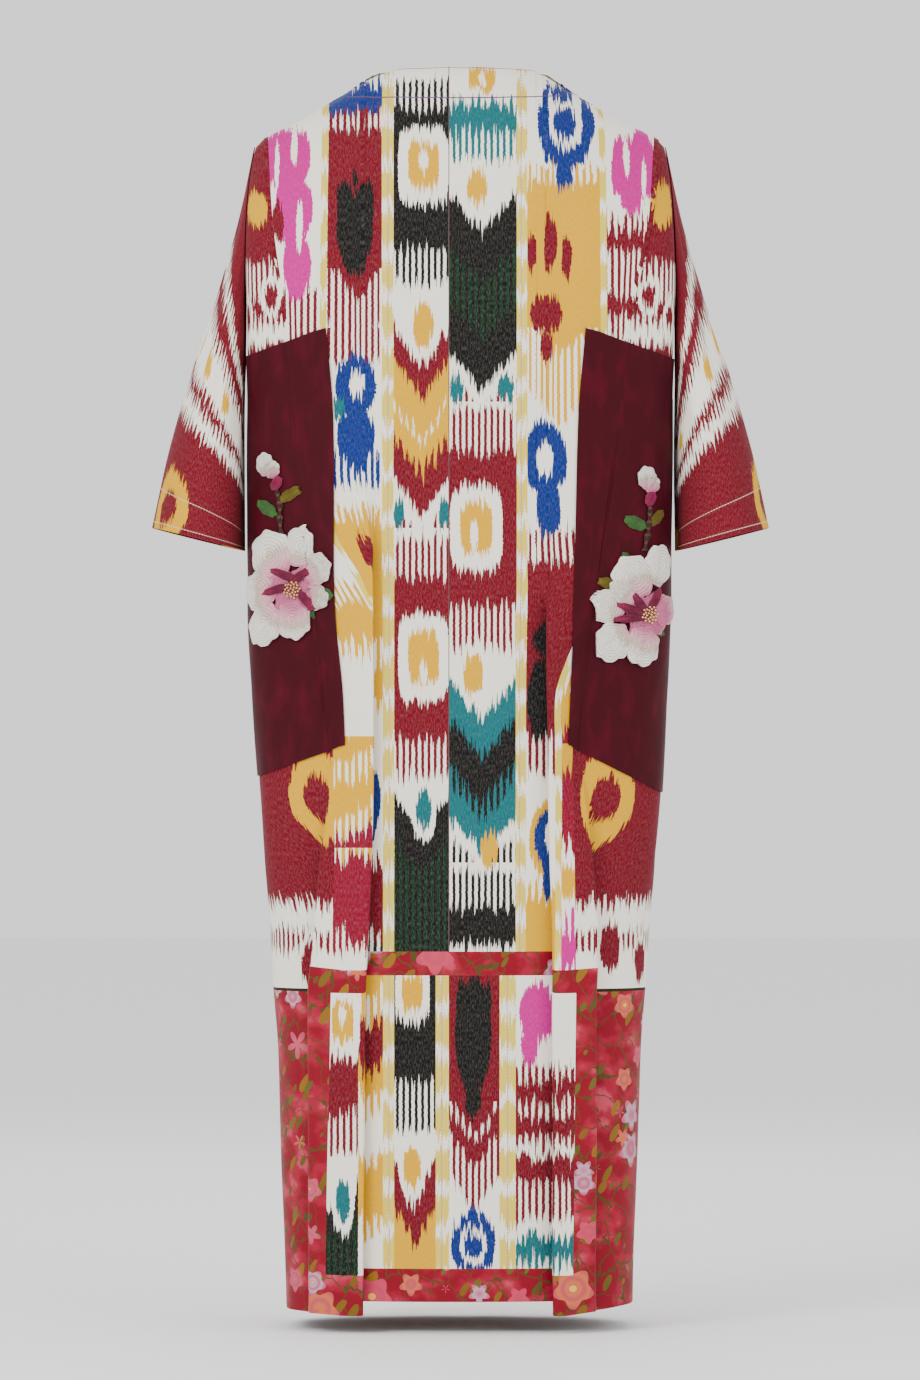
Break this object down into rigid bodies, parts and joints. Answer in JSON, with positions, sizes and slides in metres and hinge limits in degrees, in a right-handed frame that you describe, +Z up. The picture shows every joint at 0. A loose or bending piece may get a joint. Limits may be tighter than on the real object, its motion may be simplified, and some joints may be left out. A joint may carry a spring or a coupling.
{
  "type": "ikat kaftan, worn hollow form",
  "caption": "Long ikat kaftan in its worn hollow form, with half sleeves, sheer patches, applied flowers and flowered chiffon bands.",
  "frame": {"origin": "middle of the neck on the level of the neck points, where the shoulders of a wearer carry it", "axes": "+Z up along the body, -Y towards the side with the high neck edge and the pleats (taken as the back), +X to the right of that view"},
  "size_m": [0.679, 0.2815, 1.3613],
  "materials": {
    "ikat": "plain woven warp ikat, soft sheen",
    "maroon_ikat": "plain woven warp ikat, soft sheen",
    "flowered_chiffon": "sheer printed chiffon",
    "burgundy_sheer": "sheer crepe",
    "petal_thread": "crocheted and embroidered thread",
    "blush_thread": "embroidered thread",
    "leaf_thread": "embroidered thread",
    "twig_thread": "embroidered thread"
  },
  "bodies": {
    "root": {"back_panel_left": "ikat", "back_panel_right": "ikat", "back_skirt": "ikat", "front_panel": "ikat", "front_skirt": "ikat", "back_band": "flowered_chiffon", "back_hem_band": "flowered_chiffon", "front_band": "flowered_chiffon", "front_hem_band": "flowered_chiffon", "side_panel_left": "maroon_ikat", "side_chiffon_left": "flowered_chiffon", "sleeve_left": "maroon_ikat", "patch_left": "burgundy_sheer", "blossom_left": "petal_thread", "bud_left": "petal_thread", "calyx_left": "blush_thread", "leaf_inner_left": "leaf_thread", "leaf_outer_left": "leaf_thread", "twig_left": "twig_thread", "side_panel_right": "maroon_ikat", "side_chiffon_right": "flowered_chiffon", "sleeve_right": "maroon_ikat", "patch_right": "burgundy_sheer", "blossom_right": "petal_thread", "bud_right": "petal_thread", "calyx_right": "blush_thread", "leaf_inner_right": "leaf_thread", "leaf_outer_right": "leaf_thread", "twig_right": "twig_thread"}
  },
  "joints": []
}
